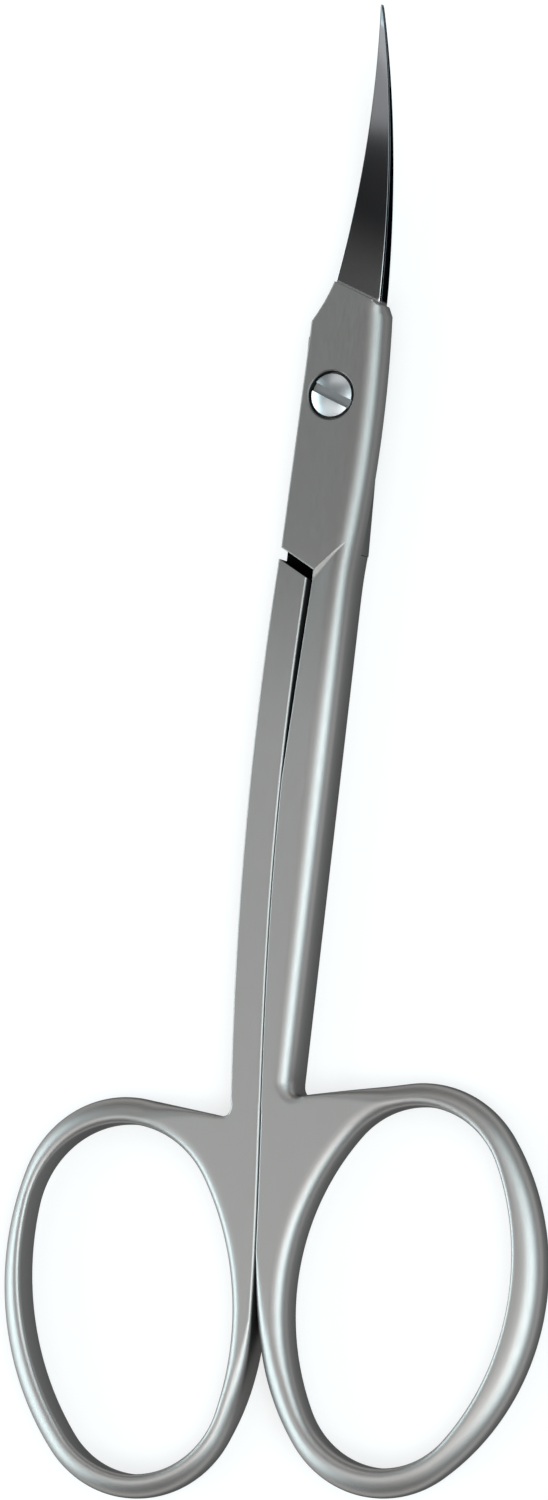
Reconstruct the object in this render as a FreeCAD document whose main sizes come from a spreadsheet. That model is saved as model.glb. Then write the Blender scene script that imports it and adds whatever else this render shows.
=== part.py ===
import FreeCAD
import Part
import Sketcher
import math
import os
from types import SimpleNamespace

# Cuticle scissors: two forged halves that turn on one slotted screw.
# Frame: Z up, Y from the finger rings to the blade tips.
# The origin lies on the screw's axis, at the back of the rear half.
# The scissors lie closed, with the front half uppermost and its finger ring on the +X side.

# Driving sizes in millimetres and degrees
SIZES = [
    ("stock_thickness", 2.8, "thickness of each half at its shank and ring"),
    ("lap_gap", 0.04, "running gap between the lapped plates and between the blades"),
    ("mating_gap", 0.12, "gap between the two shanks when closed"),
    ("mating_bow_x", -0.94, "x of the shanks' meeting line where it bows out most"),
    ("mating_bow_y", -27.9, "y of that place"),
    ("mating_radius", 326, "radius of the meeting line's bow"),
    ("edge_break", 0.12, "rounding of the crisp inner edges"),
    ("face_round", 1.15, "rounding of a shank's outer edge on its show side"),
    ("back_round", 0.3, "rounding of a shank's outer edge on the other side"),
    ("ridge_tip_x", 2.5, "upper end of the ridge where the plate stands above the front shank"),
    ("ridge_tip_y", -9.3, "upper end of that ridge"),
    ("ridge_base_x", -1.4, "where the ridge's size is given, past the shank's inner side"),
    ("ridge_bevel", 0.9, "width of the ridge's slope there"),
    ("ridge_depth", 0.38, "height of the ridge's slope there"),
    ("ridge_fade_y", -28, "where the shank has risen to the plate's level again"),
    ("plate_blend", 35, "plan radius where the joint plate runs into the shank"),
    ("lap_end_gap", 0.86, "clearance along y between a plate's end and the other half's shoulder"),
    ("front_plate_outer_x", 3.36, "outer side of the front joint plate"),
    ("front_plate_bulge", 90, "plan radius of the front plate's outer side"),
    ("front_plate_inner_x", -1.94, "inner side of the front plate at its upper corner"),
    ("front_plate_heel_x", -2.55, "inner side of the front plate at its heel"),
    ("front_plate_heel_y", -10.45, "heel of the front plate"),
    ("front_plate_toe_x", -0.03, "end of the front plate beside the shank"),
    ("front_plate_toe_y", -11.84, "end of the front plate beside the shank"),
    ("front_plate_corner_y", 4.95, "upper corner of the front plate on its inner side"),
    ("front_plate_top_y", 5.6, "upper corner of the front plate on its outer side"),
    ("front_shank_close_y", -26, "where the front shank reaches the meeting line"),
    ("front_shank_top_x", 2.58, "outer side of the front shank below the plate"),
    ("front_shank_top_y", -13.5, "upper end of the front shank's outer side"),
    ("front_neck_x", 1.78, "outer side of the front shank at the ring"),
    ("front_neck_y", -56, "lower end of the front shank's outer side, inside the web"),
    ("front_opening_x", 10.96, "middle of the front ring's opening"),
    ("front_opening_y", -59.0, "middle of the front ring's opening"),
    ("front_opening_tilt", 5.7, "lean of the front ring's opening to +X"),
    ("front_opening_reach", 5.93, "distance of its two end arcs' centres from the middle"),
    ("front_opening_top_radius", 6.14, "radius of its end towards the blades"),
    ("front_opening_bottom_radius", 6.05, "radius of its other end"),
    ("front_opening_side_radius", 17.1, "radius of its two sides"),
    ("front_rim_x", 10.86, "middle of the front ring's outside"),
    ("front_rim_y", -59.24, "middle of the front ring's outside"),
    ("front_rim_tilt", 6.4, "lean of the front ring's outside to +X"),
    ("front_rim_reach", 6.27, "distance of its two end arcs' centres from the middle"),
    ("front_rim_top_radius", 7.65, "radius of its end towards the blades"),
    ("front_rim_bottom_radius", 7.5, "radius of its other end"),
    ("front_rim_side_radius", 16.6, "radius of its two sides"),
    ("front_ring_round", 0.74, "rounding of the front ring's edges"),
    ("front_ring_seat_y", -49.2, "upper end of the ring's limb on the meeting line"),
    ("front_web_angle", 11, "slope of the web's upper side"),
    ("rear_plate_outer_x", -2.62, "outer side of the rear joint plate"),
    ("rear_plate_inner_x", 2.6, "inner side of the rear plate"),
    ("rear_plate_heel_y", -10.45, "heel of the rear plate on its inner side"),
    ("rear_plate_toe_y", -12.2, "end of the rear plate on the meeting line"),
    ("rear_plate_corner_y", 4.0, "upper corner of the rear plate on its outer side"),
    ("rear_plate_top_y", 6.2, "upper corner of the rear plate on its inner side"),
    ("rear_shank_top_y", -10, "upper end of the rear shank's outer side"),
    ("rear_shank_bulge", 240, "plan radius of the rear shank's outer side"),
    ("rear_neck_x", -1.4, "outer side of the rear shank at the ring"),
    ("rear_neck_y", -56, "lower end of the rear shank's outer side, inside the web"),
    ("rear_opening_x", -8.53, "middle of the rear ring's opening"),
    ("rear_opening_y", -61.8, "middle of the rear ring's opening"),
    ("rear_opening_tilt", -12.4, "lean of the rear ring's opening to +X"),
    ("rear_opening_reach", 5.22, "distance of its two end arcs' centres from the middle"),
    ("rear_opening_top_radius", 6.88, "radius of its end towards the blades"),
    ("rear_opening_bottom_radius", 6.2, "radius of its other end"),
    ("rear_opening_side_radius", 19.5, "radius of its two sides"),
    ("rear_rim_x", -8.74, "middle of the rear ring's outside"),
    ("rear_rim_y", -61.42, "middle of the rear ring's outside"),
    ("rear_rim_tilt", -11.2, "lean of the rear ring's outside to +X"),
    ("rear_rim_reach", 5.84, "distance of its two end arcs' centres from the middle"),
    ("rear_rim_top_radius", 7.7, "radius of its end towards the blades"),
    ("rear_rim_bottom_radius", 7.6, "radius of its other end"),
    ("rear_rim_side_radius", 19.7, "radius of its two sides"),
    ("rear_ring_round", 0.58, "rounding of the rear ring's edges"),
    ("rear_ring_seat_y", -50.6, "upper end of the ring's limb on the meeting line"),
    ("rear_web_angle", 7, "slope of the web's upper side"),
    ("web_root", 1.1, "how far the web reaches into the shank from its outer side"),
    ("ring_sink", 0.02, "how far a ring's flat sides lie below its shank's"),
    ("ring_inset", 0.15, "how far the ring's limb stands back from the meeting line"),
    ("front_tongue_y", -63.5, "end of the front shank's tongue on the meeting line"),
    ("front_tongue_width", 1.2, "width of the front tongue's slanted end"),
    ("front_tongue_slant", 2.5, "length of the front tongue's slanted end"),
    ("rear_tongue_y", -64.8, "end of the rear shank's tongue on the meeting line"),
    ("rear_tongue_width", 1.0, "width of the rear tongue's slanted end"),
    ("rear_tongue_slant", 2.5, "length of the rear tongue's slanted end"),
    ("plate_corner_cut", 0.3, "corner cut off the front plate beside the blade"),
    ("plate_corner_rise", 0.65, "length of that cut"),
    ("plate_hollow", 12, "plan radius of the hollow between plate and blade"),
    ("lap_overlap", 0.5, "overlap of the two cleared spaces past the pivot"),
    ("blade_spare", 0.8, "stock left on a blade's inner side before it is ground to the shear surface"),
    ("blade_root_y", 7.7, "start of the blades"),
    ("blade_tip_y", 26.1, "tips of the blades"),
    ("blade_root_left_x", -0.56, "left side of the blades at the root"),
    ("blade_root_right_x", 2.42, "right side of the blades at the root"),
    ("blade_tip_x", 2.02, "middle of the tips"),
    ("blade_tip_width", 0.16, "width of a tip"),
    ("blade_fullness", 0.25, "how far the left side swells past a straight taper"),
    ("blade_bend_start", 7.5, "radius from the pivot where the blades begin to curve"),
    ("blade_bend_radius", 48, "radius of the blades' upward curve"),
    ("spine_root", 1.05, "thickness of a blade's spine at the root"),
    ("spine_tip", 0.2, "thickness of a blade's spine at the tip"),
    ("edge_root", 0.3, "thickness behind the cutting edge at the root"),
    ("edge_tip", 0.1, "thickness behind the cutting edge at the tip"),
    ("screw_diameter", 2.0, "plain and threaded shank of the screw"),
    ("screw_bore_clearance", 0.03, "clearance on radius between the screw and the front plate"),
    ("screw_thread_clearance", 0.02, "clearance on radius between the screw and the rear plate"),
    ("screw_seat_gap", 0.02, "gap under the screw's head"),
    ("screw_point", 0.25, "bevel at the screw's end"),
    ("screw_end_recess", 0.15, "distance of the screw's end from the rear plate's back"),
    ("head_diameter", 2.9, "screw head"),
    ("head_clearance", 0.2, "clearance on radius round the head"),
    ("counterbore_depth", 0.8, "depth of the head's seat"),
    ("counterbore_break", 0.08, "bevel round the head's seat"),
    ("head_rim_drop", 0.12, "how far the head's rim lies below the plate"),
    ("head_crown", 0.3, "height of the head's dome above its rim"),
    ("slot_width", 0.62, "screwdriver slot"),
    ("slot_depth", 0.5, "depth of the slot from the crown"),
    ("slot_angle", -22, "turn of the slot from +X"),
]

# Places of the blade's sections as shares of its length, starting inside the plate
BLADE_STATIONS = [-0.17, 0, 0.2, 0.42, 0.64, 0.84, 1]


class Size:
    # A number together with the sheet expression that gives it
    def __init__(self, value, text):
        self.value = float(value)
        self.text = text

    def __add__(self, other):
        other = as_size(other)
        return Size(self.value + other.value, f"({self.text} + {other.text})")

    def __sub__(self, other):
        other = as_size(other)
        return Size(self.value - other.value, f"({self.text} - {other.text})")

    def __mul__(self, other):
        other = as_size(other)
        return Size(self.value * other.value, f"({self.text} * {other.text})")

    def __truediv__(self, other):
        other = as_size(other)
        return Size(self.value / other.value, f"({self.text} / {other.text})")

    def __neg__(self):
        return Size(-self.value, f"(0 - {self.text})")


def as_size(number):
    return number if isinstance(number, Size) else Size(number, repr(float(number)))


def root(size):
    return Size(math.sqrt(size.value), f"sqrt({size.text})")


def sine(angle):
    return Size(math.sin(math.radians(angle.value)), f"sin({angle.text})")


def cosine(angle):
    return Size(math.cos(math.radians(angle.value)), f"cos({angle.text})")


def fill_sheet(doc):
    sheet = doc.addObject("Spreadsheet::Sheet", "Sizes")
    for row, (alias, number, note) in enumerate(SIZES, start=1):
        sheet.set(f"A{row}", note)
        sheet.set(f"B{row}", str(number))
        sheet.setAlias(f"B{row}", alias)
    doc.recompute()
    return SimpleNamespace(**{alias: Size(sheet.get(alias), f"Sizes.{alias}") for alias, _, _ in SIZES})


def new_sketch(body, name, plane, offset=None):
    sketch = body.newObject("Sketcher::SketchObject", name)
    support = next(item for item in body.Origin.OriginFeatures if item.Role == plane)
    sketch.AttachmentSupport = (support, [""])
    sketch.MapMode = "FlatFace"
    if offset is not None:
        sketch.setExpression("AttachmentOffset.Base.z", offset.text)
    return sketch


def drive(sketch, kind, place, size):
    index = sketch.addConstraint(Sketcher.Constraint(kind, *place, size.value))
    sketch.setExpression(f"Constraints[{index}]", size.text)


class Outline:
    # A closed outline drawn edge by edge; each corner is either given by sizes or follows from tangency
    def __init__(self, sketch, start):
        self.sketch = sketch
        self.start = start
        self.here = start
        self.edges = []

    def add(self, curve, head, tail, end, tangent):
        edge = SimpleNamespace(index=self.sketch.addGeometry(curve), head=head, tail=tail)
        if self.edges:
            self.join(self.edges[-1], edge, tangent)
        self.edges.append(edge)
        self.here = end
        return edge

    def join(self, before, after, tangent):
        kind = "Tangent" if tangent else "Coincident"
        self.sketch.addConstraint(
            Sketcher.Constraint(kind, before.index, before.tail, after.index, after.head))

    def line(self, end, tangent=False):
        curve = Part.LineSegment(FreeCAD.Vector(*self.here), FreeCAD.Vector(*end))
        return self.add(curve, 1, 2, end, tangent)

    def arc(self, end, centre, leftward, tangent=False):
        # leftward is true where the path turns left, so that the arc runs anticlockwise
        radius = math.dist(self.here, centre)
        begin = math.atan2(self.here[1] - centre[1], self.here[0] - centre[0])
        finish = math.atan2(end[1] - centre[1], end[0] - centre[0])
        first, last = (begin, finish) if leftward else (finish, begin)
        if last <= first:
            last += 2 * math.pi
        circle = Part.Circle(FreeCAD.Vector(*centre), FreeCAD.Vector(0, 0, 1), radius)
        curve = Part.ArcOfCircle(circle, first, last)
        return self.add(curve, 1 if leftward else 2, 2 if leftward else 1, end, tangent)

    def close(self, tangent=False):
        self.join(self.edges[-1], self.edges[0], tangent)

    def pin(self, edge, point, at_end=True):
        place = (edge.index, edge.tail if at_end else edge.head)
        drive(self.sketch, "DistanceX", place, point[0])
        drive(self.sketch, "DistanceY", place, point[1])

    def pin_centre(self, edge, point):
        drive(self.sketch, "DistanceX", (edge.index, 3), point[0])
        drive(self.sketch, "DistanceY", (edge.index, 3), point[1])

    def radius(self, edge, size):
        drive(self.sketch, "Radius", (edge.index,), size)


def at(point):
    return (point[0].value, point[1].value)


def bow_centre(start, end, radius, leftward):
    # Centre of the arc from start to end with that radius, on the left or right of the path
    span = math.dist(start, end)
    rise = math.sqrt(radius ** 2 - (span / 2) ** 2)
    side = 1 if leftward else -1
    middle_x = (start[0] + end[0]) / 2
    middle_y = (start[1] + end[1]) / 2
    return (middle_x - side * rise * (end[1] - start[1]) / span,
            middle_y + side * rise * (end[0] - start[0]) / span)


def crossing(first, first_radius, second, second_radius):
    # Point at those distances from two points, on the left of the way from the first to the second
    span = math.dist(first, second)
    share = (first_radius ** 2 - second_radius ** 2 + span ** 2) / (2 * span)
    rise = math.sqrt(first_radius ** 2 - share ** 2)
    step_x = (second[0] - first[0]) / span
    step_y = (second[1] - first[1]) / span
    return (first[0] + share * step_x - rise * step_y, first[1] + share * step_y + rise * step_x)


def along(centre, towards, distance):
    span = math.dist(centre, towards)
    return (centre[0] + (towards[0] - centre[0]) * distance / span,
            centre[1] + (towards[1] - centre[1]) * distance / span)


def pad(body, sketch, height):
    feature = body.newObject("PartDesign::Pad", sketch.Name + "Pad")
    feature.Profile = sketch
    feature.setExpression("Length", height.text)
    return feature


def edge_names(shape, chosen):
    return [f"Edge{number}" for number, edge in enumerate(shape.Edges, start=1) if chosen(edge)]


def level_edge(edge, height):
    return all(abs(vertex.Z - height) < 1e-6 for vertex in edge.Vertexes)


def middle(edge):
    return edge.valueAt((edge.FirstParameter + edge.LastParameter) / 2)


def fillet(body, base, chosen, radius, name):
    body.Document.recompute()
    feature = body.newObject("PartDesign::Fillet", name)
    feature.Base = (base, edge_names(base.Shape, chosen))
    feature.setExpression("Radius", radius.text)
    return feature


def mating_x(s, y):
    # x of the shanks' meeting line at height y
    return s.mating_bow_x + s.mating_radius - root(s.mating_radius * s.mating_radius
                                                  - (y - s.mating_bow_y) * (y - s.mating_bow_y))


def oval(s, name, side):
    # An egg of four arcs tangent to each other: two ends and two flatter sides, leaning by the tilt
    x, y, tilt, reach, top_radius, bottom_radius, side_radius = [
        getattr(s, f"{name}_{part}")
        for part in ("x", "y", "tilt", "reach", "top_radius", "bottom_radius", "side_radius")]
    top_span = side_radius - top_radius
    bottom_span = side_radius - bottom_radius
    drop = (top_span * top_span - bottom_span * bottom_span + reach * reach * 4) / (reach * 4)
    throw = root(top_span * top_span - drop * drop)

    def place(across, up):
        return (x + across * cosine(tilt) + up * sine(tilt), y - across * sine(tilt) + up * cosine(tilt))

    return SimpleNamespace(
        top_radius=top_radius, bottom_radius=bottom_radius, side_radius=side_radius,
        top=place(as_size(0), reach), bottom=place(as_size(0), -reach),
        inner_side=place(throw * side, reach - drop), outer_side=place(-throw * side, reach - drop))


def ring_body(doc, s, half, side):
    ring = oval(s, f"{half}_rim", side)
    finger = oval(s, f"{half}_opening", side)
    body = doc.addObject("PartDesign::Body", f"{half}_ring")
    leftward = side > 0
    web = getattr(s, f"{half}_web_angle")

    # Outer outline: down beside the meeting line, round the oval and back along the web
    radius = ring.side_radius.value
    seat_y = getattr(s, f"{half}_ring_seat_y")
    seat = (mating_x(s, seat_y) + (s.mating_gap / 2 + s.ring_inset) * side, seat_y)
    inner = at(ring.inner_side)
    away = math.atan2(seat[1].value - inner[1], seat[0].value - inner[0])
    swing = math.acos(radius / math.dist(at(seat), inner))
    touch = (inner[0] + radius * math.cos(away + side * swing),
             inner[1] + radius * math.sin(away + side * swing))
    crown = (ring.top[0] - ring.top_radius * sine(web) * side, ring.top[1] + ring.top_radius * cosine(web))
    corner_x = getattr(s, f"{half}_neck_x") - s.web_root * side
    corner = (corner_x, crown[1] - (crown[0] - corner_x) * side * sine(web) / cosine(web))

    sketch = new_sketch(body, f"{half}_ring_outline", "XY_Plane", s.ring_sink)
    path = Outline(sketch, at(seat))
    limb = path.line(touch)
    outer = at(ring.outer_side)
    inner_arc = path.arc(along(inner, at(ring.bottom), radius), inner, leftward, tangent=True)
    bottom_arc = path.arc(along(outer, at(ring.bottom), radius), at(ring.bottom), leftward, tangent=True)
    outer_arc = path.arc(along(outer, at(ring.top), radius), outer, leftward, tangent=True)
    top_arc = path.arc(at(crown), at(ring.top), leftward, tangent=True)
    web_line = path.line(at(corner), tangent=True)
    path.line(at(seat))
    path.close()
    path.pin(limb, seat, at_end=False)
    for arc, size in ((inner_arc, ring.side_radius), (bottom_arc, ring.bottom_radius),
                      (outer_arc, ring.side_radius), (top_arc, ring.top_radius)):
        path.radius(arc, size)
    path.pin_centre(top_arc, ring.top)
    path.pin_centre(bottom_arc, ring.bottom)
    drive(sketch, "DistanceX", (inner_arc.index, 3), ring.inner_side[0])
    path.pin(web_line, corner)
    top = s.stock_thickness - s.ring_sink
    pad(body, sketch, top - s.ring_sink)

    # Finger opening
    hole = new_sketch(body, f"{half}_ring_opening", "XY_Plane")
    radius = finger.side_radius.value
    inner = at(finger.inner_side)
    outer = at(finger.outer_side)
    low_outer = along(outer, at(finger.bottom), radius)
    loop = Outline(hole, low_outer)
    sides = [loop.arc(along(outer, at(finger.top), radius), outer, leftward)]
    ends = [loop.arc(along(inner, at(finger.top), radius), at(finger.top), leftward, tangent=True)]
    sides.append(loop.arc(along(inner, at(finger.bottom), radius), inner, leftward, tangent=True))
    ends.append(loop.arc(low_outer, at(finger.bottom), leftward, tangent=True))
    loop.close(tangent=True)
    loop.pin_centre(ends[0], finger.top)
    loop.pin_centre(ends[1], finger.bottom)
    loop.radius(ends[0], finger.top_radius)
    loop.radius(ends[1], finger.bottom_radius)
    for arc in sides:
        loop.radius(arc, finger.side_radius)
    opening = body.newObject("PartDesign::Pocket", f"{half}_ring_cut")
    opening.Profile = hole
    opening.Type = "ThroughAll"
    opening.Reversed = True

    # Rounded edges all round, above and below
    def level(edge):
        return level_edge(edge, s.ring_sink.value) or level_edge(edge, top.value)

    fillet(body, opening, level, getattr(s, f"{half}_ring_round"), f"{half}_ring_edges")
    return body


def front_plan(s, sketch):
    # Toe, inner side down to the tongue, outer side up to the plate, then round the plate to its heel
    gap = s.mating_gap / 2
    toe = (s.front_plate_toe_x, s.front_plate_toe_y)
    meet = (mating_x(s, s.front_shank_close_y) + gap, s.front_shank_close_y)
    tongue = (mating_x(s, s.front_tongue_y) + gap, s.front_tongue_y)
    tongue_side = (tongue[0] + s.front_tongue_width, s.front_tongue_y - s.front_tongue_slant)
    neck = (s.front_neck_x, s.front_neck_y)
    shank_top = (s.front_shank_top_x, s.front_shank_top_y)
    plate_top = (s.front_plate_outer_x, s.front_plate_top_y)
    cut_corner = (s.front_plate_outer_x - s.plate_corner_cut, s.front_plate_top_y + s.plate_corner_rise)
    blade_side = (s.blade_root_left_x, s.blade_root_y)
    corner = (s.front_plate_inner_x, s.front_plate_corner_y)
    heel = (s.front_plate_heel_x, s.front_plate_heel_y)
    bow = (s.mating_bow_x.value + s.mating_radius.value, s.mating_bow_y.value)

    path = Outline(sketch, at(toe))
    corners = [(path.line(at(meet)), meet)]
    mating = path.arc(at(tongue), bow, True)
    corners.append((mating, tongue))
    corners.append((path.line(at(tongue_side)), tongue_side))
    corners.append((path.line(at(neck)), neck))
    corners.append((path.line(at(shank_top)), shank_top))
    rise = math.atan2(shank_top[1].value - neck[1].value, shank_top[0].value - neck[0].value)
    blend_centre = (shank_top[0].value + s.plate_blend.value * math.sin(rise),
                    shank_top[1].value - s.plate_blend.value * math.cos(rise))
    bulge_centre = crossing(blend_centre, (s.plate_blend + s.front_plate_bulge).value,
                            at(plate_top), s.front_plate_bulge.value)
    turn = along(blend_centre, bulge_centre, s.plate_blend.value)
    blend = path.arc(turn, blend_centre, False, tangent=True)
    bulge = path.arc(at(plate_top), bulge_centre, True, tangent=True)
    corners.append((bulge, plate_top))
    corners.append((path.line(at(cut_corner)), cut_corner))
    corners.append((path.line(at(blade_side)), blade_side))
    hollow_centre = bow_centre(at(blade_side), at(corner), s.plate_hollow.value, False)
    hollow = path.arc(at(corner), hollow_centre, False)
    corners.append((hollow, corner))
    corners.append((path.line(at(heel)), heel))
    corners.append((path.line(at(toe)), toe))
    path.close()
    for edge, point in corners:
        path.pin(edge, point)
    path.radius(mating, s.mating_radius - gap)
    path.radius(blend, s.plate_blend)
    path.radius(bulge, s.front_plate_bulge)
    path.radius(hollow, s.plate_hollow)


def rear_plan(s, sketch):
    # Toe, inner side down to the tongue, outer side up to the plate, then round the plate to its heel
    gap = s.mating_gap / 2
    toe = (mating_x(s, s.rear_plate_toe_y) - gap, s.rear_plate_toe_y)
    tongue = (mating_x(s, s.rear_tongue_y) - gap, s.rear_tongue_y)
    tongue_side = (tongue[0] - s.rear_tongue_width, s.rear_tongue_y - s.rear_tongue_slant)
    neck = (s.rear_neck_x, s.rear_neck_y)
    shank_top = (s.rear_plate_outer_x, s.rear_shank_top_y)
    corner = (s.rear_plate_outer_x, s.rear_plate_corner_y)
    blade_side = (s.blade_root_left_x, s.blade_root_y)
    plate_top = (s.rear_plate_inner_x, s.rear_plate_top_y)
    heel = (s.rear_plate_inner_x, s.rear_plate_heel_y)
    bow = (s.mating_bow_x.value + s.mating_radius.value, s.mating_bow_y.value)

    path = Outline(sketch, at(toe))
    mating = path.arc(at(tongue), bow, True)
    corners = [(mating, tongue)]
    corners.append((path.line(at(tongue_side)), tongue_side))
    corners.append((path.line(at(neck)), neck))
    blend_centre = (shank_top[0].value - s.plate_blend.value, shank_top[1].value)
    bulge_centre = crossing(blend_centre, (s.plate_blend + s.rear_shank_bulge).value,
                            at(neck), s.rear_shank_bulge.value)
    turn = along(blend_centre, bulge_centre, s.plate_blend.value)
    bulge = path.arc(turn, bulge_centre, False)
    blend = path.arc(at(shank_top), blend_centre, True, tangent=True)
    corners.append((blend, shank_top))
    corners.append((path.line(at(corner), tangent=True), corner))
    hollow_centre = bow_centre(at(corner), at(blade_side), s.plate_hollow.value, True)
    hollow = path.arc(at(blade_side), hollow_centre, True)
    corners.append((hollow, blade_side))
    corners.append((path.line(at(plate_top)), plate_top))
    corners.append((path.line(at(heel)), heel))
    corners.append((path.line(at(toe)), toe))
    path.close()
    for edge, point in corners:
        path.pin(edge, point)
    path.radius(mating, s.mating_radius + gap)
    path.radius(bulge, s.rear_shank_bulge)
    path.radius(blend, s.plate_blend)
    path.radius(hollow, s.plate_hollow)


def shank_body(doc, s, half, side):
    body = doc.addObject("PartDesign::Body", f"{half}_shank")
    sketch = new_sketch(body, f"{half}_shank_outline", "XY_Plane")
    if side > 0:
        front_plan(s, sketch)
    else:
        rear_plan(s, sketch)
    block = pad(body, sketch, s.stock_thickness)
    face = s.stock_thickness.value if side > 0 else 0
    back = s.stock_thickness.value - face
    neck_y = getattr(s, f"{half}_neck_y").value
    top_y = s.front_plate_top_y.value if side > 0 else s.rear_plate_corner_y.value
    inner_limit = abs(getattr(s, f"{half}_neck_x").value)

    def outer(edge, height):
        spot = middle(edge)
        return level_edge(edge, height) and spot.x * side > inner_limit and neck_y < spot.y < top_y

    def crisp(edge):
        spot = middle(edge)
        apart = abs(spot.x - mating_x(s, as_size(spot.y)).value)
        beside = edge.Curve.TypeId == "Part::GeomCircle" and apart < s.mating_gap.value
        above = s.front_shank_close_y.value < spot.y < s.front_plate_corner_y.value
        plate = side > 0 and spot.x < 0 and above
        return level_edge(edge, s.stock_thickness.value) and (beside or plate)

    show = fillet(body, block, lambda edge: outer(edge, face), s.face_round, f"{half}_show_edge")
    rear = fillet(body, show, lambda edge: outer(edge, back), s.back_round, f"{half}_back_edge")
    fillet(body, rear, crisp, s.edge_break, f"{half}_crisp_edge")
    return body


def ridge_body(doc, s):
    # Shallow sunk facet below the front plate: deepest at the plate's toe, fading out along the shank
    body = doc.addObject("PartDesign::Body", "front_ridge")
    share = (s.ridge_base_x - s.ridge_tip_x) / (s.front_plate_toe_x - s.ridge_tip_x)
    base_y = s.ridge_tip_y + (s.front_plate_toe_y - s.ridge_tip_y) * share
    base = new_sketch(body, "front_ridge_base", "YZ_Plane", s.ridge_base_x)
    corners = [(base_y, s.stock_thickness), (s.ridge_fade_y, s.stock_thickness),
               (base_y - s.ridge_bevel, s.stock_thickness - s.ridge_depth)]
    path = Outline(base, at(corners[-1]))
    for corner in corners:
        path.pin(path.line(at(corner)), corner)
    path.close()
    tip = new_sketch(body, "front_ridge_tip", "YZ_Plane", s.ridge_tip_x)
    point = tip.addGeometry(Part.Point(FreeCAD.Vector(s.ridge_tip_y.value, s.stock_thickness.value)))
    drive(tip, "DistanceX", (point, 1), s.ridge_tip_y)
    drive(tip, "DistanceY", (point, 1), s.stock_thickness)
    loft = body.newObject("PartDesign::AdditiveLoft", "front_ridge_loft")
    loft.Profile = base
    loft.Sections = [tip]
    loft.Ruled = True
    return body


def shear_height(s, distance):
    # Height of the surface between the blades at a distance from the pivot, past the start of the bend
    run = distance - s.blade_bend_start
    return s.stock_thickness / 2 + s.blade_bend_radius - root(s.blade_bend_radius * s.blade_bend_radius
                                                             - run * run)


def blade_body(doc, s, half, side):
    # Sections across the blade from inside the plate to the tip; the spine is thick and the edge thin
    body = doc.addObject("PartDesign::Body", f"{half}_blade")
    sections = []
    for number, part in enumerate(BLADE_STATIONS):
        run = max(part, 0)
        y = s.blade_root_y + (s.blade_tip_y - s.blade_root_y) * part
        tip_left = s.blade_tip_x - s.blade_tip_width / 2
        tip_right = s.blade_tip_x + s.blade_tip_width / 2
        swell = (s.blade_fullness * (1 - run) + 1) * run
        left = s.blade_root_left_x + (tip_left - s.blade_root_left_x) * swell
        right = s.blade_root_right_x + (tip_right - s.blade_root_right_x) * run ** 3
        spine = s.spine_root + (s.spine_tip - s.spine_root) * run
        edge = s.edge_root + (s.edge_tip - s.edge_root) * run
        shear = shear_height(s, y) if y.value > s.blade_bend_start.value else s.stock_thickness / 2
        back = shear - s.blade_spare * side
        left_face = shear + (spine if side > 0 else edge) * side
        right_face = shear + (edge if side > 0 else spine) * side
        sketch = new_sketch(body, f"{half}_blade_section{number}", "XZ_Plane", -y)
        corners = [(left, back), (right, back), (right, right_face), (left, left_face)]
        path = Outline(sketch, at(corners[-1]))
        for corner in corners:
            path.pin(path.line(at(corner)), corner)
        path.close()
        sections.append(sketch)
    loft = body.newObject("PartDesign::AdditiveLoft", f"{half}_blade_loft")
    loft.Profile = sections[0]
    loft.Sections = sections[1:]
    return body


def lap_body(doc, s, half, side):
    # Space of the other half's plate, from the shoulder up to the pivot
    body = doc.addObject("PartDesign::Body", f"{half}_lap")
    if side > 0:
        heel = (s.rear_plate_inner_x, s.rear_plate_heel_y)
        toe = (mating_x(s, s.rear_plate_toe_y), s.rear_plate_toe_y)
    else:
        heel = (s.front_plate_heel_x, s.front_plate_heel_y)
        toe = (s.front_plate_toe_x, s.front_plate_toe_y)
    slope = (heel[1] - toe[1]) / (heel[0] - toe[0])
    reach = s.front_plate_outer_x - s.rear_plate_outer_x
    corners = []
    for x in (-reach, reach):
        corners.append((x, toe[1] + (x - toe[0]) * slope - s.lap_end_gap))
    corners.append((reach, s.lap_overlap))
    corners.append((-reach, s.lap_overlap))
    face = s.stock_thickness / 2 + s.lap_gap / 2 * side
    sketch = new_sketch(body, f"{half}_lap_outline", "XY_Plane", face)
    path = Outline(sketch, at(corners[-1]))
    for corner in corners:
        path.pin(path.line(at(corner)), corner)
    path.close()
    feature = pad(body, sketch, s.stock_thickness)
    feature.Reversed = side > 0
    return body


def shear_body(doc, s, half, side):
    # Everything past the shear surface, turned about the pivot so that the blades sweep past each other
    body = doc.addObject("PartDesign::Body", f"{half}_shear")
    sketch = new_sketch(body, f"{half}_shear_profile", "XZ_Plane")
    gap = s.lap_gap / 2 * side
    flat = s.stock_thickness / 2 + gap
    reach = s.blade_tip_y + s.stock_thickness
    far = shear_height(s, reach) + gap
    limit = s.stock_thickness / 2 - (s.blade_spare * 2 + far) * side
    start = (s.blade_bend_start, flat)
    end = (reach, far)
    path = Outline(sketch, (0, flat.value))
    first = path.line(at(start))
    bend = path.arc(at(end), (s.blade_bend_start.value, flat.value + s.blade_bend_radius.value), True)
    drop = path.line((reach.value, limit.value))
    back = path.line((0, limit.value))
    path.line((0, flat.value))
    path.close()
    path.pin(first, start)
    path.pin(bend, end)
    path.radius(bend, s.blade_bend_radius)
    path.pin(drop, (reach, limit))
    for edge, place, height in ((back, back.tail, limit), (first, first.head, flat)):
        sketch.addConstraint(Sketcher.Constraint("PointOnObject", edge.index, place, -2))
        drive(sketch, "DistanceY", (edge.index, place), height)
    turn = body.newObject("PartDesign::Revolution", f"{half}_shear_turn")
    turn.Profile = sketch
    turn.ReferenceAxis = (sketch, ["V_Axis"])
    turn.Angle = 180
    return body


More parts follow.
